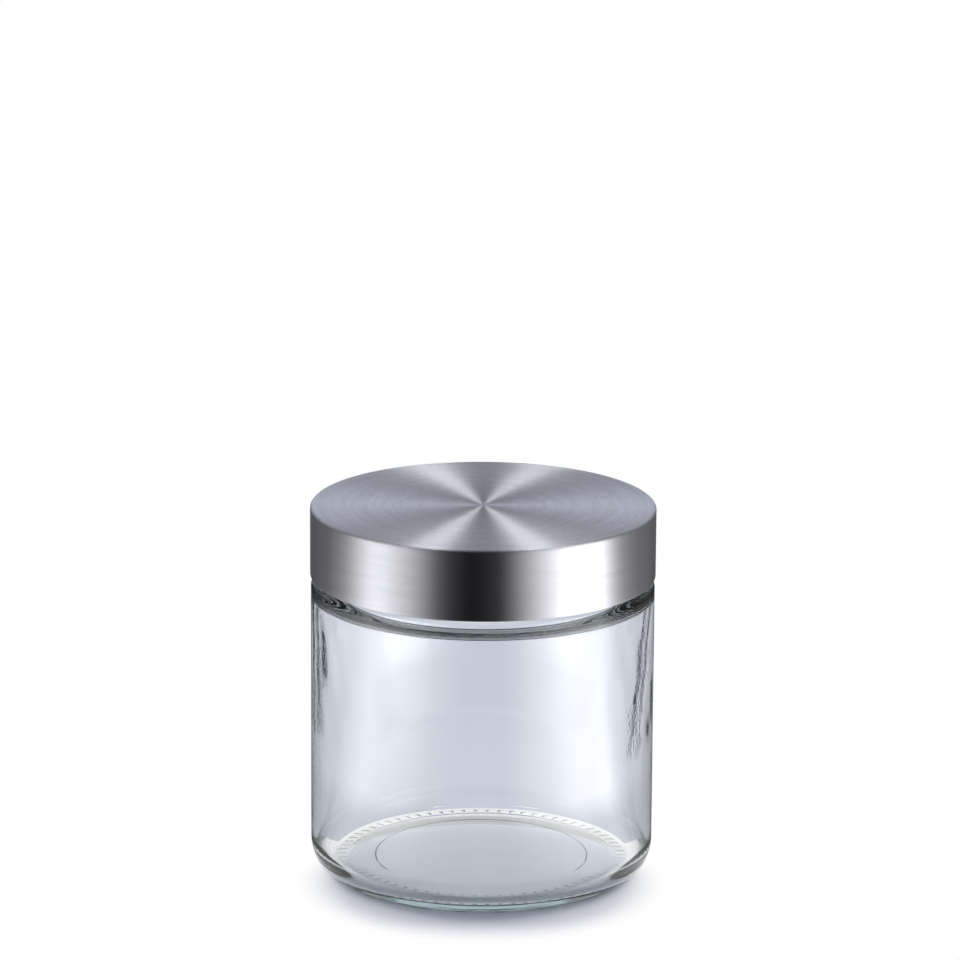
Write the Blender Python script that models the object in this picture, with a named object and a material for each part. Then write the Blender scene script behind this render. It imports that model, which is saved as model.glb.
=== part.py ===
# Storage jar of clear glass with a screw lid: a steel cap over a threaded plastic insert and a soft seal.
# Metres, +Z up. The origin is under the jar's axis, on the surface that the jar stands on.
import math

import bmesh
import bpy

# Whole jar
OVERALL_HEIGHT = 0.120
LID_RADIUS = 0.055
LID_HEIGHT = 0.0230

# Steel cap
STEEL = 0.0004
LID_CORNER = 0.0009
HEM_ROUND = 0.0010
HEM_LIP = 0.0017

# Threaded insert
INSERT_WALL = 0.0018
INSERT_ROOF = 0.0018
INSERT_CORNER = 0.0015
BORE_CHAMFER = 0.0005
SEAL_GROOVE = 0.0008
CENTRING_RIB = 0.0012
CENTRING_RIB_DROP = 0.0035

# Sealing ring
SEAL_THICKNESS = 0.0017
SEAL_ROUND = 0.0004
SEAL_OVERHANG = 0.0011

# Screw thread, cut with several starts so that little turning opens the lid
THREAD_STARTS = 4
THREAD_HEIGHT = 0.0016
RIDGE_WIDTH = 0.0026
LUG_WIDTH = 0.0020
THREAD_DROP = 0.0060
RIDGE_SWEEP = math.radians(110)
LUG_SWEEP = math.radians(60)
LUG_LEAD_IN = math.radians(12)
RIDGE_FADE = math.radians(14)
LUG_FADE = math.radians(9)
CREST_WIDTH_SHARE = 0.54

# Glass
BODY_INSET = 0.00025
BODY_WALL = 0.0028
NECK_WALL = 0.0028
NECK_FILLET = 0.0010
NECK_INNER_ROUND = 0.0020
RIM_ROUND = 0.0012
SHOULDER_GAP = 0.0006
SHOULDER_HEIGHT = 0.0028
SHOULDER_THICKNESS = 0.0046
CEILING_ROUND = 0.0017
HEEL_HEIGHT = 0.0105
FLOOR_HEIGHT = 0.0040
FLOOR_CROWN = 0.0025
FLOOR_CORNER_WIDTH = 0.0060
FLOOR_CORNER_HEIGHT = 0.0080

# Underside of the glass
BEARING_RADIUS = 0.0453
BEARING_WIDTH = 0.0040
PUSHUP_RAMP = 0.0018
PUSHUP_EDGE = 0.0003
PUSHUP_HEIGHT = 0.0020
PLATE_RADIUS = 0.0340
PLATE_STEP = 0.0004
TICK_COUNT = 72
TICK_LENGTH = 0.0030
TICK_WIDTH = 0.0011
TICK_DEPTH = 0.0003
TICK_RIDGE_SHARE = 0.7

# Fits and overruns
FIT_GAP = 0.0003
RIM_CLEARANCE = 0.0009
CREST_CLEARANCE = 0.0004
FLANK_CLEARANCE = 0.0002
ROOT_SINK = 0.0005
OVERRUN = 0.0004

# Facets
SIDES = 72
THREAD_STEPS_PER_TURN = 72
HEEL_STEPS = 6
SHOULDER_STEPS = 4
CORNER_STEPS = 5
ROUND_STEPS = 2
DOME_STEPS = 3
MERGE_DISTANCE = 0.00001
SHARP_ANGLE = math.radians(28)

# Quarter turns, which arcs run between
EAST, NORTH, WEST, SOUTH = 0.0, math.pi / 2, math.pi, -math.pi / 2
WEST_FROM_BELOW = -math.pi
FULL_TURN = 2 * math.pi

# Radii from the outside of the lid inwards
shell_inner_radius = LID_RADIUS - STEEL
insert_outer_radius = shell_inner_radius - FIT_GAP
insert_bore_radius = insert_outer_radius - INSERT_WALL
ridge_crest_radius = insert_bore_radius - CREST_CLEARANCE
neck_radius = ridge_crest_radius - THREAD_HEIGHT
lug_crest_radius = neck_radius + CREST_CLEARANCE
neck_bore_radius = neck_radius - NECK_WALL
body_radius = LID_RADIUS - BODY_INSET
body_inner_radius = body_radius - BODY_WALL

# Seal and the rib that centres the insert in the neck
rib_outer_radius = neck_bore_radius - RIM_CLEARANCE
rib_inner_radius = rib_outer_radius - CENTRING_RIB
seal_inner_radius = rib_outer_radius + FIT_GAP
seal_outer_radius = neck_radius + SEAL_OVERHANG
groove_outer_radius = seal_outer_radius + FIT_GAP

# Heights from the top of the lid downwards
lid_bottom = OVERALL_HEIGHT - LID_HEIGHT
insert_top = OVERALL_HEIGHT - STEEL - FIT_GAP
roof_underside = insert_top - INSERT_ROOF
groove_height = roof_underside + SEAL_GROOVE
seal_top = groove_height - FIT_GAP
seal_bottom = seal_top - SEAL_THICKNESS
rim_height = seal_bottom - FIT_GAP
insert_bottom = lid_bottom + STEEL + FIT_GAP
shoulder_top = lid_bottom - SHOULDER_GAP
shoulder_base = shoulder_top - SHOULDER_HEIGHT
shoulder_ceiling = shoulder_top - SHOULDER_THICKNESS

# Thread: the pitch leaves room for one ridge, one lug and the play on both flanks
thread_pitch = RIDGE_WIDTH + LUG_WIDTH + 2 * FLANK_CLEARANCE
thread_lead = THREAD_STARTS * thread_pitch
ridge_start = rim_height - THREAD_DROP - thread_lead * RIDGE_SWEEP / FULL_TURN
lug_start = ridge_start - thread_pitch / 2 + thread_lead * LUG_LEAD_IN / FULL_TURN

# Underside
bearing_outer_radius = BEARING_RADIUS + BEARING_WIDTH / 2
bearing_inner_radius = BEARING_RADIUS - BEARING_WIDTH / 2
pushup_radius = bearing_inner_radius - PUSHUP_RAMP


def clear_scene():
    for item in list(bpy.data.objects):
        bpy.data.objects.remove(item, do_unlink=True)


# Points on an elliptical arc in the radius and height plane
def arc(centre, radii, start, end, steps):
    points = []
    for step in range(steps + 1):
        angle = start + (end - start) * step / steps
        points.append((centre[0] + radii[0] * math.cos(angle), centre[1] + radii[1] * math.sin(angle)))
    return points


# Points on a shallow dome, crowned at the axis, from one radius to another
def dome(start_radius, end_radius, full_radius, edge_height, crown, steps):
    points = []
    for step in range(steps + 1):
        radius = start_radius + (end_radius - start_radius) * step / steps
        points.append((radius, edge_height + crown * (1 - (radius / full_radius) ** 2)))
    return points


def principled(name, colour, roughness, metallic, transmission=0.0, ior=1.45):
    material = bpy.data.materials.new(name)
    material.use_nodes = True
    shader = material.node_tree.nodes["Principled BSDF"]
    shader.inputs["Base Color"].default_value = (*colour, 1.0)
    shader.inputs["Roughness"].default_value = roughness
    shader.inputs["Metallic"].default_value = metallic
    shader.inputs["Transmission Weight"].default_value = transmission
    shader.inputs["IOR"].default_value = ior
    material.diffuse_color = (*colour, 1.0)
    return material


def add_object(name, mesh, material=None, parent=None):
    item = bpy.data.objects.new(name, mesh)
    bpy.context.collection.objects.link(item)
    if material:
        mesh.materials.append(material)
    if parent:
        item.parent = parent
        item.matrix_parent_inverse = parent.matrix_world.inverted()
    return item


def add_axis(name, height, parent=None):
    empty = bpy.data.objects.new(name, None)
    bpy.context.collection.objects.link(empty)
    empty.location = (0, 0, height)
    if parent:
        empty.parent = parent
        empty.location = (0, 0, height - parent.location.z)
    bpy.context.view_layer.update()
    return empty


# Turn an outline round the Z axis. It runs down the outer side, and a closed outline makes a ring.
def turned(name, outline, material, parent=None, closed=False):
    mesh = bpy.data.meshes.new(name)
    edges = [(index, index + 1) for index in range(len(outline) - 1)]
    if closed:
        edges.append((len(outline) - 1, 0))
    mesh.from_pydata([(radius, 0, height) for radius, height in outline], edges, [])
    item = add_object(name, mesh, material, parent)
    screw = item.modifiers.new("turn", "SCREW")
    screw.angle = FULL_TURN
    screw.steps = SIDES
    screw.render_steps = SIDES
    screw.use_merge_vertices = True
    screw.merge_threshold = MERGE_DISTANCE
    return item


def boolean(item, tool, operation):
    modifier = item.modifiers.new(tool.name, "BOOLEAN")
    modifier.operation = operation
    modifier.solver = "EXACT"
    modifier.object = tool
    tool.hide_render = True
    tool.display_type = "WIRE"


# Shade round pieces smooth and keep their real corners sharp
def shade(item):
    modifier = item.modifiers.new("weld", "WELD")
    modifier.merge_threshold = MERGE_DISTANCE
    item.data.shade_smooth()
    item.data.set_sharp_from_angle(angle=SHARP_ANGLE)


# Rise of a ridge out of its wall: nothing at both ends, full height between the fades
def ridge_rise(angle, sweep, fade):
    share = min(1.0, angle / fade, (sweep - angle) / fade)
    return math.sin(max(0.0, share) * math.pi / 2)


# Helical ridges with a trapezoid section, one for each start, rooted a little inside their wall
def thread_ridges(name, wall_radius, crest_radius, width, start_height, start_angle, sweep, fade):
    outwards = 1 if crest_radius > wall_radius else -1
    root_radius = wall_radius - outwards * ROOT_SINK
    buried_radius = wall_radius - outwards * ROOT_SINK / 2
    steps = max(2, round(THREAD_STEPS_PER_TURN * sweep / FULL_TURN))
    shell = bmesh.new()
    for start in range(THREAD_STARTS):
        sections = []
        for step in range(steps + 1):
            along = sweep * step / steps
            turn = start_angle + along + FULL_TURN * start / THREAD_STARTS
            height = start_height + thread_lead * along / FULL_TURN
            rise = ridge_rise(along, sweep, fade)
            crest = buried_radius + (crest_radius - buried_radius) * rise
            half = width / 2
            top = half * CREST_WIDTH_SHARE
            corners = [(root_radius, -half), (crest, -top), (crest, top), (root_radius, half)]
            section = []
            for radius, offset in corners:
                place = (radius * math.cos(turn), radius * math.sin(turn), height + offset)
                section.append(shell.verts.new(place))
            sections.append(section)
        for near, far in zip(sections, sections[1:]):
            for corner in range(len(near)):
                after = (corner + 1) % len(near)
                shell.faces.new((near[corner], near[after], far[after], far[corner]))
        shell.faces.new(sections[0])
        shell.faces.new(reversed(sections[-1]))
    bmesh.ops.recalc_face_normals(shell, faces=shell.faces)
    mesh = bpy.data.meshes.new(name)
    shell.to_mesh(mesh)
    shell.free()
    return add_object(name, mesh)


# Wedges that cut the short radial ticks into the bearing ring, each like a small hipped roof
def tick_cutters():
    spread = (TICK_DEPTH + OVERRUN) / TICK_DEPTH
    half_width = TICK_WIDTH / 2 * spread
    half_length = TICK_LENGTH / 2
    half_ridge = half_length * TICK_RIDGE_SHARE
    shell = bmesh.new()
    for tick in range(TICK_COUNT):
        turn = FULL_TURN * (tick + 1 / 2) / TICK_COUNT
        cosine, sine = math.cos(turn), math.sin(turn)
        corners = []
        places = [(-half_length, -half_width, -OVERRUN), (half_length, -half_width, -OVERRUN),
                  (half_length, half_width, -OVERRUN), (-half_length, half_width, -OVERRUN),
                  (-half_ridge, 0, TICK_DEPTH), (half_ridge, 0, TICK_DEPTH)]
        for out, across, height in places:
            radius = BEARING_RADIUS + out
            place = (radius * cosine - across * sine, radius * sine + across * cosine, height)
            corners.append(shell.verts.new(place))
        for face in ((3, 2, 1, 0), (0, 1, 5, 4), (2, 3, 4, 5), (1, 2, 5), (3, 0, 4)):
            shell.faces.new([corners[index] for index in face])
    mesh = bpy.data.meshes.new("tick_cutters")
    shell.to_mesh(mesh)
    shell.free()
    return add_object("tick_cutters", mesh)


# Inside of the glass, from the middle of the floor up to the rim
def glass_inside():
    floor_edge = body_inner_radius - FLOOR_CORNER_WIDTH
    neck_edge = neck_bore_radius + NECK_INNER_ROUND
    ceiling_base = shoulder_ceiling - CEILING_ROUND
    points = dome(0, floor_edge, floor_edge, FLOOR_HEIGHT, FLOOR_CROWN, DOME_STEPS)[:-1]
    points += arc((floor_edge, FLOOR_HEIGHT + FLOOR_CORNER_HEIGHT), (FLOOR_CORNER_WIDTH, FLOOR_CORNER_HEIGHT),
                  SOUTH, EAST, CORNER_STEPS)
    points += arc((neck_edge, ceiling_base), (body_inner_radius - neck_edge, CEILING_ROUND),
                  EAST, NORTH, SHOULDER_STEPS)
    points += arc((neck_edge, shoulder_ceiling + NECK_INNER_ROUND), (NECK_INNER_ROUND, NECK_INNER_ROUND),
                  SOUTH, WEST_FROM_BELOW, SHOULDER_STEPS)[1:]
    points += arc((neck_bore_radius + RIM_ROUND, rim_height - RIM_ROUND), (RIM_ROUND, RIM_ROUND),
                  WEST, NORTH, ROUND_STEPS)
    return points


# Outside of the glass, from the rim down to the edge of the bearing ring
def glass_outside():
    neck_edge = neck_radius + NECK_FILLET
    points = arc((neck_radius - RIM_ROUND, rim_height - RIM_ROUND), (RIM_ROUND, RIM_ROUND),
                 NORTH, EAST, ROUND_STEPS)
    points += arc((neck_edge, shoulder_top + NECK_FILLET), (NECK_FILLET, NECK_FILLET),
                  WEST_FROM_BELOW, SOUTH, ROUND_STEPS)
    points += arc((neck_edge, shoulder_base), (body_radius - neck_edge, SHOULDER_HEIGHT),
                  NORTH, EAST, SHOULDER_STEPS)[1:]
    points += arc((bearing_outer_radius, HEEL_HEIGHT), (body_radius - bearing_outer_radius, HEEL_HEIGHT),
                  EAST, SOUTH, HEEL_STEPS)
    return points


# Underside of the glass: the flat bearing ring, a ramp up into the push-up, and the baffle plate's round step
def glass_underside():
    crown = PUSHUP_HEIGHT - PUSHUP_EDGE
    points = [(bearing_inner_radius, 0)]
    points += dome(pushup_radius, PLATE_RADIUS, pushup_radius, PUSHUP_EDGE, crown, 1)
    inner = dome(PLATE_RADIUS - PLATE_STEP, 0, pushup_radius, PUSHUP_EDGE + PLATE_STEP, crown, DOME_STEPS)
    return points + inner


def build_glass_jar():
    glass = principled("clear_glass", (0.86, 0.90, 0.90), 0.02, 0.0, transmission=1.0, ior=1.52)
    outline = glass_inside() + glass_outside() + glass_underside()
    jar = turned("glass_jar", outline, glass)
    ridges = thread_ridges("neck_ridges", neck_radius, ridge_crest_radius, RIDGE_WIDTH,
                           ridge_start, 0, RIDGE_SWEEP, RIDGE_FADE)
    boolean(jar, ridges, "UNION")
    boolean(jar, tick_cutters(), "DIFFERENCE")
    shade(jar)
    return jar


# Drawn cap: flat top, rounded corner, straight skirt and a hem that turns in under the insert
def build_lid_shell(axis):
    steel = principled("brushed_steel", (0.62, 0.62, 0.64), 0.30, 1.0)
    corner_height = OVERALL_HEIGHT - LID_CORNER
    inner_corner = LID_CORNER - STEEL
    outline = [(0, OVERALL_HEIGHT)]
    outline += arc((LID_RADIUS - LID_CORNER, corner_height), (LID_CORNER, LID_CORNER),
                   NORTH, EAST, ROUND_STEPS)
    outline += arc((LID_RADIUS - HEM_ROUND, lid_bottom + HEM_ROUND), (HEM_ROUND, HEM_ROUND),
                   EAST, SOUTH, ROUND_STEPS)
    lip_radius = shell_inner_radius - HEM_LIP
    outline += [(lip_radius, lid_bottom), (lip_radius, lid_bottom + STEEL)]
    outline += arc((LID_RADIUS - HEM_ROUND, lid_bottom + HEM_ROUND), (HEM_ROUND - STEEL, HEM_ROUND - STEEL),
                   SOUTH, EAST, ROUND_STEPS)
    outline += arc((LID_RADIUS - LID_CORNER, corner_height), (inner_corner, inner_corner),
                   EAST, NORTH, ROUND_STEPS)
    outline.append((0, OVERALL_HEIGHT - STEEL))
    cap = turned("lid_shell", outline, steel, axis)
    shade(cap)
    return cap


# Moulded inner cap: a roof with the seal's groove and centring rib, and a skirt whose bore carries the lugs
def build_thread_insert(axis):
    plastic = principled("moulded_plastic", (0.75, 0.76, 0.77), 0.45, 0.0)
    skirt_round = HEM_ROUND
    outline = [(0, insert_top)]
    outline += arc((insert_outer_radius - INSERT_CORNER, insert_top - INSERT_CORNER),
                   (INSERT_CORNER, INSERT_CORNER), NORTH, EAST, ROUND_STEPS)
    outline += arc((insert_outer_radius - skirt_round, insert_bottom + skirt_round),
                   (skirt_round, skirt_round), EAST, SOUTH, ROUND_STEPS)
    outline += [(insert_bore_radius + BORE_CHAMFER, insert_bottom),
                (insert_bore_radius, insert_bottom + BORE_CHAMFER),
                (insert_bore_radius, roof_underside),
                (groove_outer_radius, roof_underside),
                (groove_outer_radius, groove_height),
                (rib_outer_radius, groove_height),
                (rib_outer_radius, roof_underside - CENTRING_RIB_DROP),
                (rib_inner_radius, roof_underside - CENTRING_RIB_DROP),
                (rib_inner_radius, roof_underside),
                (0, roof_underside)]
    insert = turned("thread_insert", outline, plastic, axis)
    lugs = thread_ridges("insert_lugs", insert_bore_radius, lug_crest_radius, LUG_WIDTH,
                         lug_start, LUG_LEAD_IN, LUG_SWEEP, LUG_FADE)
    lugs.parent = axis
    lugs.matrix_parent_inverse = axis.matrix_world.inverted()
    boolean(insert, lugs, "UNION")
    shade(insert)
    return insert


# Soft ring with eased edges, which lies in the groove and bears on the rim
def build_sealing_ring(axis):
    silicone = principled("silicone", (0.80, 0.81, 0.80), 0.55, 0.0)
    outline = [(seal_outer_radius - SEAL_ROUND, seal_top),
               (seal_outer_radius, seal_top - SEAL_ROUND),
               (seal_outer_radius, seal_bottom + SEAL_ROUND),
               (seal_outer_radius - SEAL_ROUND, seal_bottom),
               (seal_inner_radius + SEAL_ROUND, seal_bottom),
               (seal_inner_radius, seal_bottom + SEAL_ROUND),
               (seal_inner_radius, seal_top - SEAL_ROUND),
               (seal_inner_radius + SEAL_ROUND, seal_top)]
    ring = turned("sealing_ring", outline, silicone, axis, closed=True)
    shade(ring)
    return ring


# The lid rises along the jar's axis and turns about it, at one thread lead for each turn
def build():
    clear_scene()
    build_glass_jar()
    rise_axis = add_axis("lid_rise_axis", rim_height)
    turn_axis = add_axis("lid_turn_axis", lid_bottom, rise_axis)
    build_sealing_ring(rise_axis)
    build_lid_shell(turn_axis)
    build_thread_insert(turn_axis)


build()
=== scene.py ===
import math

import bmesh
import bpy
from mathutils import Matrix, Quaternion, Vector


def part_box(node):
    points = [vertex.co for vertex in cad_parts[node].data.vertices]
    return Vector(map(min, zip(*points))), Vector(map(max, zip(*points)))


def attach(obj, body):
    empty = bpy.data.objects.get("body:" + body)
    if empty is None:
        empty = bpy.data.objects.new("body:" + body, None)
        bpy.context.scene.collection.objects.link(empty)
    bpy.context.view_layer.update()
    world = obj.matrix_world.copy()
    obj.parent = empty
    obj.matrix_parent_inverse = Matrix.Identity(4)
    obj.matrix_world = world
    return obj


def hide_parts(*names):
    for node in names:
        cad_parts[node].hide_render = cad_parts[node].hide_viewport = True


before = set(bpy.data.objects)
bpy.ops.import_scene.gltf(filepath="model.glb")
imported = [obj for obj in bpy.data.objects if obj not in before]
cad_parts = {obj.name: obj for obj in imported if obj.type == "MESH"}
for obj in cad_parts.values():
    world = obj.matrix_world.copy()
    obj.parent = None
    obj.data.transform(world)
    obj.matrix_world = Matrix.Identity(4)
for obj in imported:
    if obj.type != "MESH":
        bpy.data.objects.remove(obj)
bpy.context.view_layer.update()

# Clear storage jar with a brushed steel screw lid, dressed over its solids.
# Metres, +Z up, camera looking along +Y.

fullTurn = 2 * math.pi
east, north, west, south = 0.0, math.pi / 2, math.pi, -math.pi / 2
frontAngle = -math.pi / 2            # the jar's front, where the camera stands
onAxis = 1e-7                        # a smaller radius is one point on the axis
sharpAngle = math.radians(40)        # edges steeper than this stay crisp

jarLow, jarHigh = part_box("glass_jar")
capLow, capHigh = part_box("lid_shell")
insertLow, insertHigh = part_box("thread_insert")
sealLow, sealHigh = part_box("sealing_ring")


# outlines are lists of (radius, height, region) rows; the region tells a piece's shape function where it is
def arcRows(region, centre, radii, start, end, steps):
    rows = []
    for step in range(steps + 1):
        angle = start + (end - start) * step / steps
        rows.append((centre[0] + radii[0] * math.cos(angle), centre[1] + radii[1] * math.sin(angle), region))
    return rows


# both ends are left out, because the arcs beside the line bring them
def lineRows(region, start, end, steps):
    return [(start[0] + (end[0] - start[0]) * step / steps, start[1] + (end[1] - start[1]) * step / steps,
             region) for step in range(1, steps)]


def evenAngles(count, extra=()):
    return sorted([fullTurn * step / count for step in range(count)] + [angle % fullTurn for angle in extra])


def smoothStep(value):
    value = min(1.0, max(0.0, value))
    return value * value * (3 - 2 * value)


# turn an outline round Z; an open one starts and ends on the axis, a closed one makes a ring
def turnedPiece(name, rows, angles, material, shape=None, closed=False):
    mesh = bmesh.new()
    rings = []
    for radius, height, region in rows:
        if radius < onAxis:
            rings.append([mesh.verts.new((0, 0, height))])
            continue
        ring = []
        for angle in angles:
            r, z = shape(region, angle, radius, height) if shape else (radius, height)
            ring.append(mesh.verts.new((r * math.cos(angle), r * math.sin(angle), z)))
        rings.append(ring)
    pairs = list(zip(rings, rings[1:])) + ([(rings[-1], rings[0])] if closed else [])
    count = len(angles)
    for near, far in pairs:
        for step in range(count):
            after = (step + 1) % count
            corners = [near[step % len(near)], near[after % len(near)],
                       far[after % len(far)], far[step % len(far)]]
            mesh.faces.new(list(dict.fromkeys(corners)))        # a triangle where a row is one point
    bmesh.ops.recalc_face_normals(mesh, faces=mesh.faces)
    for face in mesh.faces:
        face.smooth = True
    data = bpy.data.meshes.new(name)
    mesh.to_mesh(data)
    mesh.free()
    data.set_sharp_from_angle(angle=sharpAngle)
    data.materials.append(material)
    piece = bpy.data.objects.new(name, data)
    bpy.context.scene.collection.objects.link(piece)
    return piece


def putOn(piece, body, node):
    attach(piece, body)
    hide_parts(node)
    print(piece.name, "done:", len(piece.data.polygons), "faces")


# small node-tree helpers
noiseSpan = (0.3, 0.7)        # the part of a noise's range that nearly all of it lies in


def newMaterial(name):
    material = bpy.data.materials.new(name)
    material.use_nodes = True
    tree = material.node_tree
    return material, tree, tree.nodes["Principled BSDF"]


def addNode(tree, kind, settings=None, values=None):
    node = tree.nodes.new(kind)
    for key, value in (settings or {}).items():
        setattr(node, key, value)
    for key, value in (values or {}).items():
        node.inputs[key].default_value = value
    return node


def link(tree, source, target):
    tree.links.new(source, target)


def feed(tree, value, socket):        # a number is set on the socket, anything else is linked to it
    if isinstance(value, (int, float)):
        socket.default_value = value
    elif value is not None:
        link(tree, value, socket)


def mathNode(tree, operation, first, second=None):
    node = addNode(tree, "ShaderNodeMath", {"operation": operation})
    for socket, value in zip(node.inputs, (first, second)):
        feed(tree, value, socket)
    return node.outputs[0]


def mapRange(tree, value, source, target, smooth=False):
    node = addNode(tree, "ShaderNodeMapRange", {"interpolation_type": "SMOOTHSTEP" if smooth else "LINEAR"},
                   {"From Min": source[0], "From Max": source[1], "To Min": target[0], "To Max": target[1]})
    link(tree, value, node.inputs["Value"])
    return node.outputs["Result"]


def noiseNode(tree, where, scale, detail, **others):
    node = addNode(tree, "ShaderNodeTexNoise", values={"Scale": scale, "Detail": detail, **others})
    link(tree, where, node.inputs["Vector"])
    return node.outputs["Fac"]


def bumpNode(tree, height, distance, strength=1.0, under=None):
    node = addNode(tree, "ShaderNodeBump", values={"Distance": distance})
    feed(tree, strength, node.inputs["Strength"])
    link(tree, height, node.inputs["Height"])
    feed(tree, under, node.inputs["Normal"])
    return node.outputs[0]


def shadedColour(tree, colour, shade):
    node = addNode(tree, "ShaderNodeVectorMath", {"operation": "SCALE"})
    node.inputs[0].default_value = colour
    link(tree, shade, node.inputs["Scale"])
    return node.outputs[0]


def mixColours(tree, share, first, second):
    node = addNode(tree, "ShaderNodeMix", {"data_type": "RGBA"})
    node.inputs[6].default_value = (*first, 1)
    node.inputs[7].default_value = (*second, 1)
    link(tree, share, node.inputs[0])
    return node.outputs[2]


def mixShaders(tree, share, first, second):
    node = addNode(tree, "ShaderNodeMixShader")
    for socket, source in zip(node.inputs, (share, first, second)):
        link(tree, source, socket)
    return node.outputs[0]


# the place on the piece, whole and as x, y and z
def objectPlace(tree):
    place = addNode(tree, "ShaderNodeTexCoord").outputs["Object"]
    split = addNode(tree, "ShaderNodeSeparateXYZ")
    link(tree, place, split.inputs[0])
    return place, split.outputs


def axisDistance(tree, x, y):
    return mathNode(tree, "SQRT", mathNode(tree, "ADD", mathNode(tree, "MULTIPLY", x, x),
                                           mathNode(tree, "MULTIPLY", y, y)))


# coordinates that run round the axis with no seam: distance across the grooves, cosine and sine of the turn
def roundCoordinates(tree, across, along):
    place, (x, y, z) = objectPlace(tree)
    radius = axisDistance(tree, x, y)
    safe = mathNode(tree, "MAXIMUM", radius, 0.0002)        # never divides by zero on the axis
    joined = addNode(tree, "ShaderNodeCombineXYZ")
    link(tree, mathNode(tree, "MULTIPLY", mathNode(tree, "SUBTRACT", radius, z), across), joined.inputs[0])
    link(tree, mathNode(tree, "MULTIPLY", mathNode(tree, "DIVIDE", x, safe), along), joined.inputs[1])
    link(tree, mathNode(tree, "MULTIPLY", mathNode(tree, "DIVIDE", y, safe), along), joined.inputs[2])
    return joined.outputs[0]


# one noise makes both the colour and the gloss slightly uneven
def unevenFinish(tree, shader, noise, look):
    link(tree, shadedColour(tree, look["colour"], mapRange(tree, noise, noiseSpan, look["shade"])),
         shader.inputs["Base Color"])
    gloss = [look["roughness"] + change for change in look["roughnessChange"]]
    link(tree, mapRange(tree, noise, noiseSpan, gloss), shader.inputs["Roughness"])


# the jar itself
glassLook = {
    "tint": (0.985, 0.995, 0.992), "ior": 1.52,
    "edgeColour": (0.66, 0.86, 0.80), "edgeDensity": 9.0,       # green only where the light's path is long
    "waviness": 0.00006, "waveSize": 60.0, "waveDetail": 1.5,
    "upright": 0.45,                                            # waves and grain are drawn out up the wall
    "roughness": 0.004, "smearGain": 4, "smearSize": 35.0, "smearDetail": 3.0, "smearSpan": (0.55, 0.8),
    # what lamps lose on their way through, straight on and where they graze the wall
    "shadowTint": (0.952, 0.95, 0.944), "rimShadowTint": (0.31, 0.34, 0.385), "rimShadowWidth": 3.0,
    # the thick heel bends light away: its heights and radii, and its shade at the front and at the back
    "heelHeights": (0.006, 0.017), "heelRadii": (0.044, 0.049),
    "heelAcross": (-0.02, 0.03), "heelShade": (0.78, 0.65),
    # rough patches inside the wall: degrees from the front at the foot, degrees of lean over a metre,
    # half width in degrees, foot and head height
    "patches": [(60, 330, 6.5, 0.040, 0.095), (-77, 0, 9.0, 0.046, 0.074), (-75, -60, 3.5, 0.062, 0.095)],
    "patchGrain": 1300.0, "patchGrainDetail": 2.0, "patchDepth": 0.0004,
    "patchEdge": (0.5, 1.2), "patchFoot": 0.014, "patchHead": 0.012,        # how a patch fades at its edges
    "patchRagged": 0.07, "raggedSize": 110.0, "raggedDetail": 2.0,
    "patchWall": (0.0527, 0.0532),                              # beyond these radii the wall is smooth
}


def patchMask(tree, place, x, y, height, radius):
    g = glassLook
    angle = mathNode(tree, "ARCTAN2", x, mathNode(tree, "MULTIPLY", y, -1))
    ragged = noiseNode(tree, place, g["raggedSize"], g["raggedDetail"])
    shake = mapRange(tree, ragged, noiseSpan, (-g["patchRagged"], g["patchRagged"]))
    angle = mathNode(tree, "ADD", angle, shake)
    total = 0
    for degrees, lean, halfWidth, foot, head in g["patches"]:
        lying = (math.radians(degrees), math.radians(degrees + lean * (head - foot)))
        centre = mapRange(tree, height, (foot, head), lying)
        off = mathNode(tree, "ABSOLUTE", mathNode(tree, "SUBTRACT", angle, centre))
        edge = [math.radians(halfWidth) * share for share in g["patchEdge"]]
        across = mapRange(tree, off, edge, (1, 0), smooth=True)
        rise = mapRange(tree, height, (foot, foot + g["patchFoot"]), (0, 1), smooth=True)
        fall = mapRange(tree, height, (head - g["patchHead"], head), (1, 0), smooth=True)
        patch = mathNode(tree, "MULTIPLY", across, mathNode(tree, "MULTIPLY", rise, fall))
        total = mathNode(tree, "MAXIMUM", total, patch)
    return mathNode(tree, "MULTIPLY", total, mapRange(tree, radius, g["patchWall"], (1, 0)))


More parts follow.
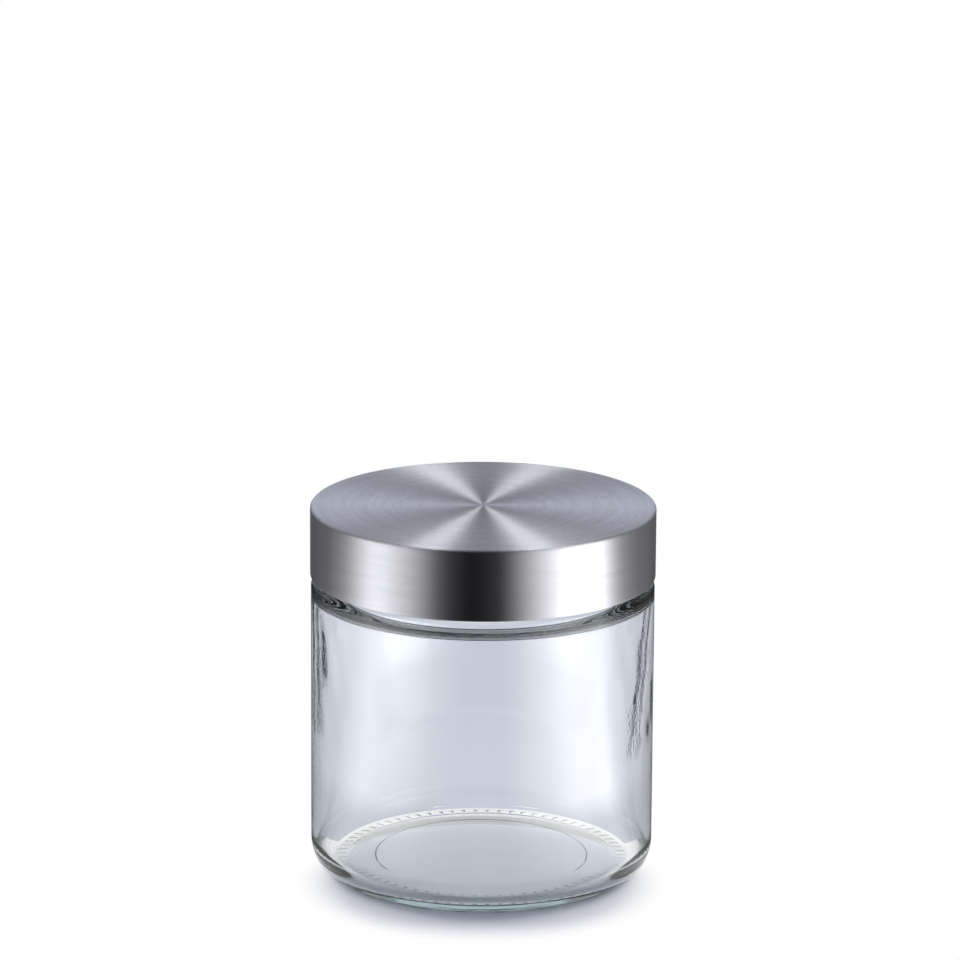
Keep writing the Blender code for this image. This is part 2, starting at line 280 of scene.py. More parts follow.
def clearGlass():
    g = glassLook
    material, tree, shader = newMaterial("clearGlass")
    shader.inputs["Base Color"].default_value = (*g["tint"], 1)
    shader.inputs["IOR"].default_value = g["ior"]
    shader.inputs["Transmission Weight"].default_value = 1.0
    place, (x, y, height) = objectPlace(tree)
    radius = axisDistance(tree, x, y)
    stretch = addNode(tree, "ShaderNodeMapping", values={"Scale": (1.0, 1.0, g["upright"])})
    link(tree, place, stretch.inputs["Vector"])
    wave = noiseNode(tree, stretch.outputs[0], g["waveSize"], g["waveDetail"])
    grain = noiseNode(tree, stretch.outputs[0], g["patchGrain"], g["patchGrainDetail"])
    patches = patchMask(tree, place, x, y, height, radius)
    wavy = bumpNode(tree, wave, g["waviness"])
    link(tree, bumpNode(tree, grain, g["patchDepth"], patches, wavy), shader.inputs["Normal"])
    smear = noiseNode(tree, place, g["smearSize"], g["smearDetail"])
    link(tree, mapRange(tree, smear, g["smearSpan"], (g["roughness"], g["roughness"] * g["smearGain"])),
         shader.inputs["Roughness"])

    # lamps and the light bounced off the table pass straight through, so the table under the jar is lit
    lightPath = addNode(tree, "ShaderNodeLightPath")
    facing = addNode(tree, "ShaderNodeLayerWeight")
    grazing = mathNode(tree, "POWER", facing.outputs["Facing"], g["rimShadowWidth"])
    heel = mathNode(tree, "MULTIPLY", mapRange(tree, height, g["heelHeights"], (1, 0), smooth=True),
                    mapRange(tree, radius, g["heelRadii"], (0, 1), smooth=True))
    heelShade = mapRange(tree, y, g["heelAcross"], g["heelShade"], smooth=True)
    loss = mathNode(tree, "MAXIMUM", grazing, mathNode(tree, "MULTIPLY", heel, heelShade))
    through = addNode(tree, "ShaderNodeBsdfTransparent")
    link(tree, mixColours(tree, loss, g["shadowTint"], g["rimShadowTint"]), through.inputs["Color"])
    forBounced = mixShaders(tree, lightPath.outputs["Is Diffuse Ray"], shader.outputs[0], through.outputs[0])
    forLamps = mixShaders(tree, lightPath.outputs["Is Shadow Ray"], forBounced, through.outputs[0])
    output = tree.nodes["Material Output"]
    link(tree, forLamps, output.inputs["Surface"])
    absorb = addNode(tree, "ShaderNodeVolumeAbsorption",
                     values={"Color": (*g["edgeColour"], 1), "Density": g["edgeDensity"]})
    link(tree, absorb.outputs[0], output.inputs["Volume"])
    return material


# ridges are on the glass neck, lugs inside the insert; both follow one lead
thread = {
    "starts": 4, "pitch": 0.0050, "height": 0.0016, "crestShare": 0.50, "dropFromRim": 0.0060,
    "ridgeWidth": 0.0026, "ridgeSweep": math.radians(110), "ridgeFade": math.radians(14),
    "lugWidth": 0.0020, "lugSweep": math.radians(60), "lugFade": math.radians(9),
    "lugLeadIn": math.radians(12),
}
threadLead = thread["starts"] * thread["pitch"]
ridgeStart = jarHigh.z - thread["dropFromRim"] - threadLead * thread["ridgeSweep"] / fullTurn
lugStart = ridgeStart - thread["pitch"] / 2 + threadLead * thread["lugLeadIn"] / fullTurn


# how far a helical ridge stands out of its wall at one place, from 0 to 1
def ridgeAt(angle, height, startAngle, startHeight, sweep, fade, width):
    tallest = 0.0
    for start in range(thread["starts"]):
        along = (angle - startAngle - fullTurn * start / thread["starts"]) % fullTurn
        if along > sweep:
            continue
        offset = abs(height - startHeight - threadLead * along / fullTurn)
        flank = width / 2 * (1 - thread["crestShare"])
        side = smoothStep((width / 2 - offset) / flank)
        end = math.sin(min(1.0, along / fade, (sweep - along) / fade) * math.pi / 2)
        tallest = max(tallest, side * end)
    return tallest


jarGlass = {
    "columns": 432, "wall": 0.0028, "neckWall": 0.0028, "sealOverhang": 0.0011,
    "neckFillet": 0.0010, "neckInnerRound": 0.0020, "rimRound": 0.0012,
    "shoulderGap": 0.0006, "shoulderHeight": 0.0028, "shoulderThick": 0.0046, "ceilingRound": 0.0017,
    "heelHeight": 0.0105, "floorHeight": 0.0040, "floorCrown": 0.0025, "floorCorner": (0.0060, 0.0080),
    "bearingRadius": 0.0453, "bearingWidth": 0.0040, "rampWidth": 0.0018, "rampHeight": 0.0003,
    "pushupHeight": 0.0020, "plateRadius": 0.0340, "plateStep": 0.0004,
    # notches in the bearing ring; half width and flank are shares of their spacing
    "tickCount": 72, "tickLength": 0.0030, "tickDepth": 0.0003, "tickEnd": 0.0006,
    "tickHalfWidth": 0.16, "tickFlank": 0.10,
    # the two mould seams, which fade out downwards
    "seamAngle": math.radians(20), "seamWidth": 0.0009, "seamHeight": 0.00007, "seamColumns": 0.0004,
    "seamFoot": 0.052, "seamFade": 0.020,
    # uneven thickness inside the wall: each wave's size, waves in a turn, start and lean over the jar's
    # height, then where the waves begin and over what span they grow, towards the sides and upwards
    "rippleDepth": 0.00012, "rippleWaves": [(1.0, 9, 1.3, 9), (0.7, 17, -0.6, -14), (0.4, 31, 2.1, 21)],
    "rippleSides": (0.70, 0.22), "rippleRise": (0.30, 0.35),
    # thick streaks left inside the wall: degrees from the front, degrees of lean over a metre, half width in
    # degrees, foot and head height, depth; they wander by so many degrees, so fast with height
    "streaks": [(60, 260, 2.0, 0.038, 0.062, 0.00030), (66, 300, 1.9, 0.046, 0.072, 0.00030),
                (-75, -40, 1.8, 0.046, 0.070, 0.00030), (-81, -30, 1.6, 0.044, 0.068, 0.00028)],
    "streakWander": [(0.5, 420), (0.3, 1130)],
    "steps": {"floor": 10, "corner": 24, "inside": 60, "ceiling": 20, "innerRound": 8, "bore": 10, "rim": 8,
              "neck": 110, "fillet": 6, "shoulder": 18, "outside": 14, "heel": 22, "bearing": 14, "plate": 10},
}
seams = [frontAngle + jarGlass["seamAngle"], frontAngle + jarGlass["seamAngle"] + math.pi]
neckRadius = sealHigh.x - jarGlass["sealOverhang"]


def seamAt(angle, radius):        # the two lines where the mould's halves met
    near = min(abs((angle - seam + math.pi) % fullTurn - math.pi) for seam in seams) * radius
    return 1 - smoothStep(near / jarGlass["seamWidth"])


# pressed glass isn't even inside: thick and thin streaks, strongest near the shoulder
def rippleAt(angle, height):
    share = (height - jarLow.z) / (jarHigh.z - jarLow.z)
    (sideStart, sideSpan), (riseStart, riseSpan) = jarGlass["rippleSides"], jarGlass["rippleRise"]
    sideways = smoothStep((abs(math.cos(angle)) - sideStart) / sideSpan)
    waves = sum(size * math.sin(turns * angle + start + lean * share)
                for size, turns, start, lean in jarGlass["rippleWaves"])
    shift = jarGlass["rippleDepth"] * waves * sideways * smoothStep((share - riseStart) / riseSpan)
    for degrees, lean, halfWidth, foot, head, depth in jarGlass["streaks"]:
        wander = lean * (height - foot)
        for size, pace in jarGlass["streakWander"]:
            wander += size * math.sin(height * pace + degrees)
        fromFront = math.degrees((angle - frontAngle + math.pi) % fullTurn - math.pi)
        off = (fromFront - degrees - wander) / halfWidth
        rise = smoothStep((height - foot) / (head - foot))
        shift -= depth * rise * math.exp(-off * off)
    return shift


def tickAt(angle, radius):        # short radial notches in the bearing ring
    phase = (angle / fullTurn * jarGlass["tickCount"]) % 1.0
    across = smoothStep((jarGlass["tickHalfWidth"] - abs(phase - 0.5)) / jarGlass["tickFlank"])
    along = abs(radius - jarGlass["bearingRadius"])
    ends = smoothStep(((jarGlass["tickLength"] / 2 + jarGlass["tickEnd"] / 2) - along) / jarGlass["tickEnd"])
    return across * ends


def glassShape(region, angle, radius, height):
    if region == "neck":
        radius += thread["height"] * ridgeAt(angle, height, 0, ridgeStart, thread["ridgeSweep"],
                                             thread["ridgeFade"], thread["ridgeWidth"])
    if region in ("neck", "outside", "shoulder"):
        shown = smoothStep((height - jarGlass["seamFoot"]) / jarGlass["seamFade"])
        radius += jarGlass["seamHeight"] * shown * seamAt(angle, radius)
    if region == "inside":
        radius += rippleAt(angle, height)
    if region == "bearing":
        height += jarGlass["tickDepth"] * tickAt(angle, radius)
    return radius, height


# the outline runs from the middle of the floor up the inside, over the rim and down to the underside's middle
def glassRows():
    g = jarGlass
    steps = g["steps"]
    body = jarHigh.x
    inner = body - g["wall"]
    bore = neckRadius - g["neckWall"]
    shoulderTop = capLow.z - g["shoulderGap"]
    shoulderFoot = shoulderTop - g["shoulderHeight"]
    ceiling = shoulderTop - g["shoulderThick"]
    ceilingBase = ceiling - g["ceilingRound"]
    rimBase = jarHigh.z - g["rimRound"]
    cornerWidth, cornerHeight = g["floorCorner"]
    cornerTop = g["floorHeight"] + cornerHeight
    floorEdge = inner - cornerWidth
    innerEdge = bore + g["neckInnerRound"]
    innerTop = ceiling + g["neckInnerRound"]
    outerEdge = neckRadius + g["neckFillet"]
    neckFoot = shoulderTop + g["neckFillet"]
    bearingOut = g["bearingRadius"] + g["bearingWidth"] / 2
    bearingIn = g["bearingRadius"] - g["bearingWidth"] / 2

    rows = []
    for step in range(steps["floor"]):        # the crowned floor
        radius = floorEdge * step / steps["floor"]
        rows.append((radius, g["floorHeight"] + g["floorCrown"] * (1 - (radius / floorEdge) ** 2), "floor"))
    rows += arcRows("corner", (floorEdge, cornerTop), g["floorCorner"], south, east, steps["corner"])
    rows += lineRows("inside", (inner, cornerTop), (inner, ceilingBase), steps["inside"])
    rows += arcRows("ceiling", (innerEdge, ceilingBase), (inner - innerEdge, g["ceilingRound"]), east, north,
                    steps["ceiling"])
    rows += arcRows("bore", (innerEdge, innerTop), (g["neckInnerRound"],) * 2, south, -west,
                    steps["innerRound"])[1:]
    rows += lineRows("bore", (bore, innerTop), (bore, rimBase), steps["bore"])
    rows += arcRows("rim", (bore + g["rimRound"], rimBase), (g["rimRound"],) * 2, west, north, steps["rim"])
    rows += arcRows("rim", (neckRadius - g["rimRound"], rimBase), (g["rimRound"],) * 2, north, east,
                    steps["rim"])
    rows += lineRows("neck", (neckRadius, rimBase), (neckRadius, neckFoot), steps["neck"])
    rows += arcRows("shoulder", (outerEdge, neckFoot), (g["neckFillet"],) * 2, -west, south, steps["fillet"])
    rows += arcRows("shoulder", (outerEdge, shoulderFoot), (body - outerEdge, g["shoulderHeight"]), north, east,
                    steps["shoulder"])[1:]
    rows += lineRows("outside", (body, shoulderFoot), (body, g["heelHeight"]), steps["outside"])
    rows += arcRows("outside", (bearingOut, g["heelHeight"]), (body - bearingOut, g["heelHeight"]), east, south,
                    steps["heel"])
    rows += lineRows("bearing", (bearingOut, 0), (bearingIn, 0), steps["bearing"])
    for inwards, up in ((0, 0), (1 / 4, 1 / 8), (3 / 4, 7 / 8)):        # a small ramp with an S-shaped section
        rows.append((bearingIn - g["rampWidth"] * inwards, g["rampHeight"] * up, "under"))

    dome = bearingIn - g["rampWidth"]
    crown = g["pushupHeight"] - g["rampHeight"]

    def domeRow(radius, lift):
        return radius, g["rampHeight"] + crown * (1 - (radius / dome) ** 2) + lift, "under"

    plateEdge = g["plateRadius"] - g["plateStep"]
    rows += [domeRow(dome, 0), domeRow(g["plateRadius"], 0), domeRow(plateEdge, g["plateStep"])]
    for left in range(steps["plate"] - 1, -1, -1):
        rows.append(domeRow(plateEdge * left / steps["plate"], g["plateStep"]))
    return rows


def buildJarGlass():
    g = jarGlass
    sides = (-g["seamColumns"], g["seamColumns"])        # extra columns close beside each seam
    angles = evenAngles(g["columns"], [seam + side / jarHigh.x for seam in seams for side in sides])
    piece = turnedPiece("jarGlass", glassRows(), angles, clearGlass(), glassShape)
    putOn(piece, "jar", "glass_jar")


# the steel cap; a fineness is how fast its grooves change across their run, a pace how fast along it
capLook = {
    "colour": (0.62, 0.62, 0.64), "roughness": 0.375, "roughnessRange": (1.12, 0.88),
    "anisotropy": 0.995, "grooveTurn": 0.25,        # the grooves run round, so the gloss spreads across
    "lineFineness": 5200.0, "linePace": 3.0, "lineDetail": 3.0, "lineRoughness": 0.6, "lineDepth": 0.000004,
    "bandCoarser": 9, "bandLonger": 2, "bandDetail": 2.0, "lineShare": 0.6, "bandShare": 0.4,
    "scratchFineness": 2600.0, "scratchPace": 16.0, "scratchDetail": 1.0, "scratchSpan": (0.60, 0.70),
    "scratchShade": 0.18,
    # groove strength on the skirt and on the top; painted shade that darkens the top towards its middle, and
    # the share of the radius it reaches
    "skirtShade": 0.05, "topShade": 0.12, "paintedMiddleShade": 0.80, "paintedShadeReach": 0.7,
    "topDepth": (0.0012, 0.0003),                   # so far below the lid's top the skirt's look ends
}


def brushedSteel():
    c = capLook
    material, tree, shader = newMaterial("brushedSteel")
    shader.inputs["Metallic"].default_value = 1.0
    shader.inputs["Anisotropic"].default_value = c["anisotropy"]
    shader.inputs["Anisotropic Rotation"].default_value = c["grooveTurn"]
    tangent = addNode(tree, "ShaderNodeTangent", {"direction_type": "RADIAL", "axis": "Z"})
    link(tree, tangent.outputs[0], shader.inputs["Tangent"])
    place, (x, y, height) = objectPlace(tree)
    radius = axisDistance(tree, x, y)
    lines = noiseNode(tree, roundCoordinates(tree, c["lineFineness"], c["linePace"]), 1.0, c["lineDetail"],
                      Roughness=c["lineRoughness"])
    bands = noiseNode(tree, roundCoordinates(tree, c["lineFineness"] / c["bandCoarser"],
                                             c["linePace"] / c["bandLonger"]), 1.0, c["bandDetail"])
    both = mathNode(tree, "ADD", mathNode(tree, "MULTIPLY", lines, c["lineShare"]),
                    mathNode(tree, "MULTIPLY", bands, c["bandShare"]))
    scratches = noiseNode(tree, roundCoordinates(tree, c["scratchFineness"], c["scratchPace"]), 1.0,
                          c["scratchDetail"])
    onTop = mapRange(tree, height, [capHigh.z - depth for depth in c["topDepth"]], (0, 1))
    strength = mapRange(tree, onTop, (0, 1), (c["skirtShade"], c["topShade"]))
    grooves = mathNode(tree, "MULTIPLY", strength, mapRange(tree, both, noiseSpan, (-1, 1)))
    # painted shade: the steel's colour is darker towards the middle of the top
    middle = mapRange(tree, radius, (0.0, capHigh.x * c["paintedShadeReach"]), (c["paintedMiddleShade"], 1.0), smooth=True)
    scratched = mathNode(tree, "MULTIPLY", onTop,
                         mapRange(tree, scratches, c["scratchSpan"], (0, c["scratchShade"])))
    shade = mathNode(tree, "MULTIPLY", mathNode(tree, "ADD", 1.0, grooves), middle)
    shade = mathNode(tree, "MULTIPLY", shade, mathNode(tree, "SUBTRACT", 1.0, scratched))
    link(tree, shadedColour(tree, c["colour"], shade), shader.inputs["Base Color"])
    gloss = [c["roughness"] * share for share in c["roughnessRange"]]
    link(tree, mapRange(tree, both, noiseSpan, gloss), shader.inputs["Roughness"])
    link(tree, bumpNode(tree, lines, c["lineDepth"]), shader.inputs["Normal"])
    return material


lidShell = {
    "columns": 288, "steel": 0.0004, "corner": 0.0009, "hemRound": 0.0010, "hemLip": 0.0017,
    "steps": {"top": 12, "corner": 10, "skirt": 8, "hem": 8, "inner": 6},
}


def buildLidShell():
    s = lidShell
    steps = s["steps"]
    outer, top, bottom = capHigh.x, capHigh.z, capLow.z
    innerCorner, innerHem = s["corner"] - s["steel"], s["hemRound"] - s["steel"]
    cornerCentre = (outer - s["corner"], top - s["corner"])
    hemCentre = (outer - s["hemRound"], bottom + s["hemRound"])
    lip = outer - s["steel"] - s["hemLip"]
    rows = [(cornerCentre[0] * step / steps["top"], top, "top") for step in range(steps["top"])]
    rows += arcRows("corner", cornerCentre, (s["corner"],) * 2, north, east, steps["corner"])
    rows += lineRows("skirt", (outer, cornerCentre[1]), (outer, hemCentre[1]), steps["skirt"])
    rows += arcRows("hem", hemCentre, (s["hemRound"],) * 2, east, south, steps["hem"])
    rows += arcRows("hem", (lip, bottom + s["steel"] / 2), (s["steel"] / 2,) * 2, south, -fullTurn * 3 / 4,
                    steps["inner"])
    rows += arcRows("hem", hemCentre, (innerHem,) * 2, south, east, steps["inner"])
    rows += arcRows("corner", cornerCentre, (innerCorner,) * 2, east, north, steps["inner"])
    rows.append((0, top - s["steel"], "top"))
    piece = turnedPiece("lidSteel", rows, evenAngles(s["columns"]), brushedSteel())
    putOn(piece, "lid", "lid_shell")


# the threaded insert
insertLook = {
    "colour": (0.75, 0.76, 0.77), "shade": (0.93, 1.05), "roughness": 0.42, "roughnessChange": (-0.05, 0.07),
    "flowSize": 45.0, "flowDetail": 4.0, "flowDistortion": 0.6,
    "grain": 2600.0, "grainDetail": 2.0, "grainDepth": 0.00001, "grainStrength": 0.6,
}


def mouldedPlastic():
    p = insertLook
    material, tree, shader = newMaterial("mouldedPlastic")
    place, _ = objectPlace(tree)
    flow = noiseNode(tree, place, p["flowSize"], p["flowDetail"], Distortion=p["flowDistortion"])
    unevenFinish(tree, shader, flow, p)
    grain = noiseNode(tree, place, p["grain"], p["grainDetail"])
    link(tree, bumpNode(tree, grain, p["grainDepth"], p["grainStrength"]), shader.inputs["Normal"])
    return material


threadInsert = {
    "columns": 288, "wall": 0.0018, "roof": 0.0018, "corner": 0.0015, "skirtRound": 0.0010, "chamfer": 0.0005,
    "groove": 0.0008, "rib": 0.0012, "ribDrop": 0.0035, "rimClearance": 0.0009, "fitGap": 0.0003,
    "soft": 0.00025,        # the small radius of every other edge
    "gateRadius": 0.0022, "gateDepth": 0.0004, "gateDish": 0.6,
    "ringRadius": 0.0300, "ringWidth": 0.0010, "ringDepth": 0.0003,
    "steps": {"round": 6, "bore": 110, "rib": 3},
}
insertBore = insertHigh.x - threadInsert["wall"]
ribOuter = neckRadius - jarGlass["neckWall"] - threadInsert["rimClearance"]


def insertShape(region, angle, radius, height):
    if region == "bore":
        radius -= thread["height"] * ridgeAt(angle, height, thread["lugLeadIn"], lugStart, thread["lugSweep"],
                                             thread["lugFade"], thread["lugWidth"])
    return radius, height


def buildThreadInsert():
    t = threadInsert
    steps = t["steps"]
    outer, top, bottom = insertHigh.x, insertHigh.z, insertLow.z
    roof = top - t["roof"]
    grooveTop = roof + t["groove"]
    grooveOut = sealHigh.x + t["fitGap"]
    ribInner = ribOuter - t["rib"]
    ribLow = roof - t["ribDrop"]
    soft = t["soft"]
    rows = [(0, top, "top")]
    rows += arcRows("top", (outer - t["corner"], top - t["corner"]), (t["corner"],) * 2, north, east,
                    steps["round"])
    rows += arcRows("skirt", (outer - t["skirtRound"], bottom + t["skirtRound"]), (t["skirtRound"],) * 2,
                    east, south, steps["round"])
    rows += [(insertBore + t["chamfer"], bottom, "skirt"), (insertBore, bottom + t["chamfer"], "skirt")]
    rows += lineRows("bore", (insertBore, bottom + t["chamfer"]), (insertBore, roof), steps["bore"])
    rows += [(insertBore, roof, "roof"), (grooveOut + soft, roof, "roof"), (grooveOut, roof + soft, "roof"),
             (grooveOut, grooveTop, "roof"), (ribOuter, grooveTop, "roof")]        # the seal's groove
    rows += arcRows("rib", (ribOuter - soft, ribLow + soft), (soft,) * 2, east, south, steps["rib"])
    rows += arcRows("rib", (ribInner + soft, ribLow + soft), (soft,) * 2, south, -west, steps["rib"])
    rows += [(ribInner, roof - soft, "rib"), (ribInner - soft, roof, "roof")]
    ringOuter, ringInner = t["ringRadius"] + t["ringWidth"] / 2, t["ringRadius"] - t["ringWidth"] / 2
    rows += [(ringOuter + soft, roof, "roof"), (ringOuter, roof - t["ringDepth"], "roof"),
             (ringInner, roof - t["ringDepth"], "roof"), (ringInner - soft, roof, "roof")]
    gate, dish = t["gateRadius"], t["gateDish"]        # the mark where the plastic ran in
    rows += [(gate + soft, roof, "roof"), (gate, roof - t["gateDepth"], "roof"),
             (gate * dish, roof - t["gateDepth"], "roof"), (0, roof - t["gateDepth"] * dish, "roof")]
    piece = turnedPiece("lidInsert", rows, evenAngles(t["columns"]), mouldedPlastic(), insertShape)
    putOn(piece, "lid", "thread_insert")


# the sealing ring
sealLook = {
    "colour": (0.78, 0.79, 0.78), "shade": (0.94, 1.04), "roughness": 0.50, "roughnessChange": (-0.06, 0.08),
    "hazeSize": 90.0, "hazeDetail": 3.0, "softness": 0.35, "softReach": (0.004, 0.004, 0.0045),
}


def paleSilicone():
    material, tree, shader = newMaterial("paleSilicone")
    place, _ = objectPlace(tree)
    unevenFinish(tree, shader, noiseNode(tree, place, sealLook["hazeSize"], sealLook["hazeDetail"]), sealLook)
    shader.inputs["Subsurface Weight"].default_value = sealLook["softness"]
    shader.inputs["Subsurface Radius"].default_value = sealLook["softReach"]
    return material


sealRing = {
    "columns": 240, "round": 0.0004, "roundSteps": 4,
    # two low beads bear on the rim; their places are shares of the ring's width
    "beadPlaces": (0.78, 0.22), "bead": 0.00022, "beadWidth": 0.0007, "beadFull": 0.8,
}


def buildSealRing():
    s = sealRing
    outer, top, bottom = sealHigh.x, sealHigh.z, sealLow.z
    inner = ribOuter + threadInsert["fitGap"]
    soft, steps = s["round"], s["roundSteps"]
    flat = bottom + s["bead"]
    half, side = s["beadWidth"] / 2, flat - s["bead"] * s["beadFull"]
    rows = arcRows("seal", (outer - soft, top - soft), (soft,) * 2, north, east, steps)
    rows += arcRows("seal", (outer - soft, flat + soft), (soft,) * 2, east, south, steps)
    for share in s["beadPlaces"]:
        middle = inner + (outer - inner) * share
        rows += [(middle + half, flat, "seal"), (middle + half / 2, side, "seal"), (middle, bottom, "seal"),
                 (middle - half / 2, side, "seal"), (middle - half, flat, "seal")]
    rows += arcRows("seal", (inner + soft, flat + soft), (soft,) * 2, south, -west, steps)
    rows += arcRows("seal", (inner + soft, top - soft), (soft,) * 2, west, north, steps)
    piece = turnedPiece("sealRing", rows, evenAngles(s["columns"]), paleSilicone(), closed=True)
    putOn(piece, "seal", "sealing_ring")


# the stage: a white table, a light tent and a glowing card that only gloss and glass see, lamps and the camera
tableLook = {
    "size": 8.0, "colour": (0.90, 0.905, 0.92),
    "shadowForward": 0.0185, "whiteFrom": 0.041, "whiteTo": 0.060,        # the shadow lies towards the camera
}


def addSheet(name, points, faces, material):
    data = bpy.data.meshes.new(name)
    data.from_pydata(points, [], faces)
    data.materials.append(material)
    sheet = bpy.data.objects.new(name, data)
    bpy.context.scene.collection.objects.link(sheet)
    return sheet


# the table is a plain white surface near the jar and glows white further out, so that it has no edge
def buildTable():
    material, tree, shader = newMaterial("whiteTable")
    tree.nodes.remove(shader)
    lightPath = addNode(tree, "ShaderNodeLightPath")
    diffuse = addNode(tree, "ShaderNodeBsdfDiffuse", values={"Color": (*tableLook["colour"], 1)})
    place, _ = objectPlace(tree)
    reach = addNode(tree, "ShaderNodeVectorMath", {"operation": "DISTANCE"})
    reach.inputs[1].default_value = (0, -tableLook["shadowForward"], 0)
    link(tree, place, reach.inputs[0])
    away = mapRange(tree, reach.outputs["Value"], (tableLook["whiteFrom"], tableLook["whiteTo"]), (0, 1),
                    smooth=True)
    seen = mathNode(tree, "ADD", lightPath.outputs["Is Camera Ray"],
                    mathNode(tree, "ADD", lightPath.outputs["Is Glossy Ray"],
                             lightPath.outputs["Is Transmission Ray"]))
    white = addNode(tree, "ShaderNodeEmission", values={"Color": (1, 1, 1, 1), "Strength": 1.0})
    mix = mixShaders(tree, mathNode(tree, "MULTIPLY", away, mathNode(tree, "MINIMUM", seen, 1.0)),
                     diffuse.outputs[0], white.outputs[0])
    link(tree, mix, tree.nodes["Material Output"].inputs["Surface"])
    half = tableLook["size"] / 2
    addSheet("table", [(-half, -half, 0), (half, -half, 0), (half, half, 0), (-half, half, 0)],
             [(0, 1, 2, 3)], material)


worldLook = {"horizon": (0.64, 0.67, 0.78), "zenith": (0.26, 0.27, 0.32), "rise": (0.15, 0.9),
             "strength": 1.0}


def buildWorld():
    world = bpy.data.worlds.new("studio")
    bpy.context.scene.world = world
    world.use_nodes = True
    tree = world.node_tree
    room = tree.nodes["Background"]
    room.inputs["Strength"].default_value = worldLook["strength"]
    split = addNode(tree, "ShaderNodeSeparateXYZ")
    link(tree, addNode(tree, "ShaderNodeTexCoord").outputs["Generated"], split.inputs[0])
    rise = mapRange(tree, split.outputs[2], worldLook["rise"], (0, 1), smooth=True)
    link(tree, mixColours(tree, rise, worldLook["horizon"], worldLook["zenith"]), room.inputs["Color"])


aim = Vector((0, 0, capHigh.z / 2))        # the middle of the closed jar, which lamps and camera turn to


def around(azimuth, elevation, distance):        # azimuth 0 is the camera's side, positive to its right
    a, e = math.radians(azimuth), math.radians(elevation)
    return aim + distance * Vector((math.sin(a) * math.cos(e), -math.cos(a) * math.cos(e), math.sin(e)))


# azimuth, elevation, distance, size, watts and whether gloss and glass show it
softboxes = {
    "leftBox": (-112, 38, 0.90, (0.40, 0.60), 4.0, False),
    "rightBox": (112, 38, 0.90, (0.45, 0.60), 4.5, False),
    "topLeft": (-153, 66, 0.95, (0.05, 0.20), 0.75, True),
    "topRight": (153, 66, 0.95, (0.05, 0.20), 0.75, True),
}


def buildLamps():
    for name, (azimuth, elevation, distance, size, watts, shows) in softboxes.items():
        data = bpy.data.lights.new(name, "AREA")
        data.shape = "RECTANGLE"
        data.size, data.size_y = size
        data.energy = watts
        lamp = bpy.data.objects.new(name, data)
        lamp.location = around(azimuth, elevation, distance)
        lamp.rotation_mode = "QUATERNION"
        lamp.rotation_quaternion = (aim - lamp.location).to_track_quat("-Z", "Y")
        lamp.visible_camera = False
        lamp.visible_glossy = lamp.visible_transmission = shows
        bpy.context.scene.collection.objects.link(lamp)


# a round floor and wall of light; levels, heights and the extra light on the wall go by azimuth
tent = {
    "outer": 0.60, "lift": 0.0015, "columns": 180, "reach": 180, "tint": (0.975, 0.98, 1.0),
    # the level's share at each radius of the floor and at the wall's top
    "floor": [(0.058, 0.7), (0.12, 0.9), (0.155, 2.3), (0.34, 2.0), (0.60, 0.9)], "wallTop": 0.35,
    "heights": [(0, 1.40), (112, 1.40), (130, 0.60), (150, 0.35), (160, 0.16), (171, 0.115), (180, 0.115)],
    "backWall": [(0, 0), (112, 0), (125, 0.55), (142, 0.55), (155, 0.30), (170, 0.05), (180, 0)],
    # dark where the camera stands, bright panels at both sides, dark towards the back
    "levels": [(-180, 0.15), (-150, 0.02), (-120, 0.12), (-100, 0.33), (-90, 0.65), (-75, 1.30), (-65, 1.20),
               (-60, 1.02), (-45, 0.60), (-30, 0.13), (-20, 0.03), (-8, 0.00), (12, 0.03), (20, 0.22),
               (40, 1.00), (58, 1.95), (80, 1.90), (90, 0.80), (100, 0.35), (120, 0.15), (155, 0.03),
               (180, 0.15)],
}


def between(table, azimuth):
    for (fromAzimuth, fromValue), (toAzimuth, toValue) in zip(table, table[1:]):
        if azimuth <= toAzimuth:
            return fromValue + (toValue - fromValue) * (azimuth - fromAzimuth) / (toAzimuth - fromAzimuth)
    return table[-1][1]


def glowMaterial(name, colour):
    material, tree, shader = newMaterial(name)
    tree.nodes.remove(shader)
    glow = addNode(tree, "ShaderNodeEmission", values={"Color": (*colour, 1)})
    level = addNode(tree, "ShaderNodeAttribute", {"attribute_name": "level"})
    link(tree, level.outputs["Fac"], glow.inputs["Strength"])
    link(tree, glow.outputs[0], tree.nodes["Material Output"].inputs["Surface"])
    return material


# only gloss and glass see it, and it lights and shades nothing
def addGlowSheet(name, points, faces, levels, material):
    sheet = addSheet(name, points, faces, material)
    sheet.data.attributes.new("level", "FLOAT", "POINT").data.foreach_set("value", levels)
    sheet.visible_camera = sheet.visible_diffuse = sheet.visible_shadow = False
    return sheet


def buildTent():
    points, faces, levels = [], [], []
    rows = len(tent["floor"]) + 1
    for step in range(tent["columns"] + 1):
        azimuth = -tent["reach"] + 2 * tent["reach"] * step / tent["columns"]
        a = math.radians(azimuth)
        side, front = math.sin(a), -math.cos(a)
        level = between(tent["levels"], azimuth)
        for radius, share in tent["floor"]:
            points.append((radius * side, radius * front, tent["lift"]))
            levels.append(share * level)
        points.append((tent["outer"] * side, tent["outer"] * front, between(tent["heights"], abs(azimuth))))
        levels.append(tent["wallTop"] * level + between(tent["backWall"], abs(azimuth)))
        if step:
            base = rows * step
            for row in range(rows - 1):
                faces.append((base - rows + row, base + row, base + row + 1, base - rows + row + 1))
    addGlowSheet("tent", points, faces, levels, glowMaterial("tentGlow", tent["tint"]))
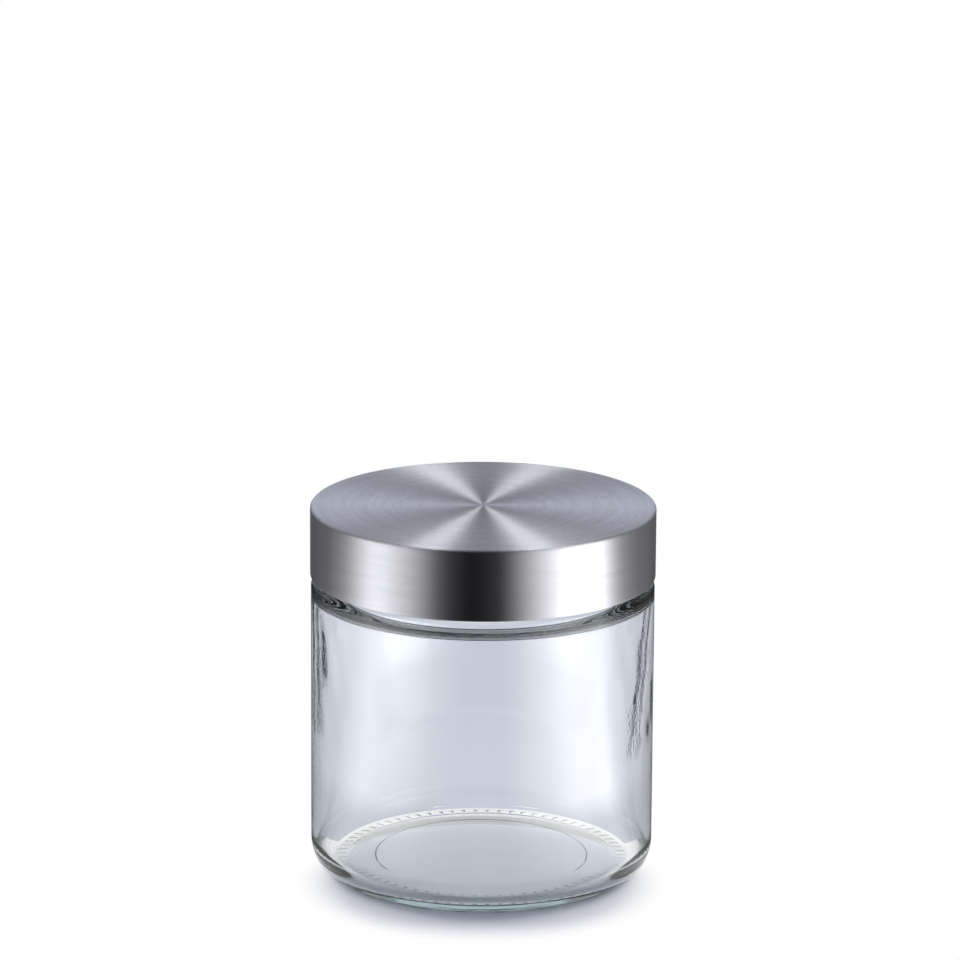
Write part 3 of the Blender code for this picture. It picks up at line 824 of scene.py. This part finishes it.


# a card beside and behind the jar that the clear glass shows; painted light: it glows by itself, brightest
# straight behind and dimmer towards the sides
backCard = {
    "from": 105, "to": 255, "columns": 60, "colour": (0.70, 0.715, 0.82),
    "rings": [(0.050, 0.0006), (0.056, 0.0018), (0.60, 0.0022)],             # radius, height over the table
    "levels": [(0, 1.0), (12, 0.98), (22, 0.88), (34, 0.80), (75, 0.76)],    # by degrees from straight behind
}


def buildBackCard():
    points, faces, levels = [], [], []
    rows = len(backCard["rings"])
    for step in range(backCard["columns"] + 1):
        azimuth = backCard["from"] + (backCard["to"] - backCard["from"]) * step / backCard["columns"]
        a = math.radians(azimuth)
        level = between(backCard["levels"], abs(azimuth - 180))
        for radius, height in backCard["rings"]:
            points.append((radius * math.sin(a), -radius * math.cos(a), height))
            levels.append(level)
        if step:
            base = rows * step
            for row in range(rows - 1):
                faces.append((base - rows + row, base - rows + row + 1, base + row + 1, base + row))
    card = addGlowSheet("backCard", points, faces, levels, glowMaterial("glowingCard", backCard["colour"]))
    card.visible_glossy = False


cameraSetup = {"distance": 1.80, "elevation": 16.85, "focalPixels": 5619.0, "roll": 0.35,
               "aimPixel": (482.2, 685.8), "framePixels": 960, "sensor": 36.0}


def buildCamera():
    c = cameraSetup
    data = bpy.data.cameras.new("camera")
    data.sensor_width = c["sensor"]
    data.lens = c["focalPixels"] / c["framePixels"] * c["sensor"]
    camera = bpy.data.objects.new("camera", data)
    camera.location = around(0, c["elevation"], c["distance"])
    camera.rotation_mode = "QUATERNION"
    facing = (aim - camera.location).to_track_quat("-Z", "Y")
    roll = Quaternion((0, 0, 1), math.radians(c["roll"]))
    half, (column, line) = c["framePixels"] / 2, c["aimPixel"]
    ray = Vector(((column - half) / c["focalPixels"], (half - line) / c["focalPixels"], -1))
    offCentre = Vector((0, 0, -1)).rotation_difference(ray.normalized())       # the jar sits low in the frame
    camera.rotation_quaternion = facing @ roll @ offCentre.inverted()
    bpy.context.scene.collection.objects.link(camera)
    bpy.context.scene.camera = camera


buildJarGlass()
buildLidShell()
buildThreadInsert()
buildSealRing()
buildTable()
buildWorld()
buildLamps()
buildTent()
buildBackCard()
buildCamera()
bpy.context.scene.view_settings.view_transform = "Standard"
print("stage, lamps and camera done")
